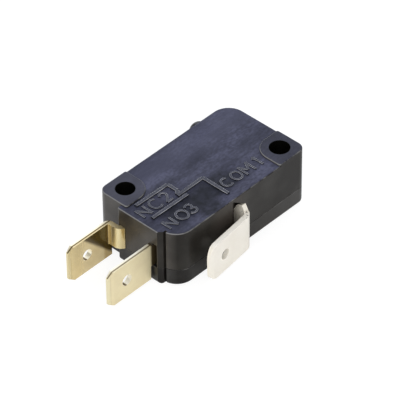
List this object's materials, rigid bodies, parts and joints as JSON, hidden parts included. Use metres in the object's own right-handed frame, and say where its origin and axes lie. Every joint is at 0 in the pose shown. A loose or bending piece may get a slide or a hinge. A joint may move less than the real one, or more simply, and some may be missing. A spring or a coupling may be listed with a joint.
{
  "type": "pin plunger micro switch",
  "caption": "Miniature snap-action switch: black plastic box with diagonal mounting holes, a domed pin plunger on one long side and flat push-on tabs for the common and changeover contacts.",
  "frame": {"origin": "axis of the mounting hole beside the plunger, at the cover's outer face", "axes": "+X along the length, away from the two end tabs; +Y across the width, towards the plunger; +Z through the thickness, out of the marked face"},
  "size_m": [0.0377, 0.0216, 0.0103],
  "materials": {
    "case_plastic": "satin, finely textured",
    "cover_plastic": "satin",
    "plunger_plastic": "smooth satin",
    "tinned_strip": "bright tin plating",
    "brass_strip": "rolled, lightly polished",
    "contact_silver": "silver alloy, satin",
    "arm_bronze": "rolled spring bronze",
    "lever_steel": "stamped, plain",
    "spring_wire": "drawn spring wire"
  },
  "bodies": {
    "housing": {"case": "case_plastic", "cover": "cover_plastic", "com_terminal": "tinned_strip", "nc_terminal": "brass_strip", "no_terminal": "brass_strip", "nc_contact": "contact_silver", "no_contact": "contact_silver"},
    "plunger": {"plunger": "plunger_plastic"},
    "lever": {"actuating_lever": "lever_steel", "tension_spring": "spring_wire"},
    "arm": {"contact_arm": "arm_bronze", "moving_contact": "contact_silver"}
  },
  "joints": [
    {"name": "plunger_press", "type": "slide", "parent": "housing", "child": "plunger", "axis": [0, -1, 0], "range_m": [0, 0.0022], "stiffness_N_per_m": 1400, "springref_m": -0.0007},
    {"name": "lever_rock", "type": "hinge", "parent": "housing", "child": "lever", "pos_m": [-0.0105, 0.0031, 0.0056], "axis": [0, 0, 1], "range_deg": [-12.3, 0], "deforming": ["tension_spring"]},
    {"name": "arm_rock", "type": "hinge", "parent": "housing", "child": "arm", "pos_m": [-0.0113, 0.00458, 0.0056], "axis": [0, 0, 1], "range_deg": [0, 4.64]}
  ],
  "couplings": [
    {"joint": "lever_rock", "follows": "plunger_press", "rad_per_m": -97},
    {"joint": "arm_rock", "follows": "plunger_press", "rad_per_m": 36.74}
  ]
}
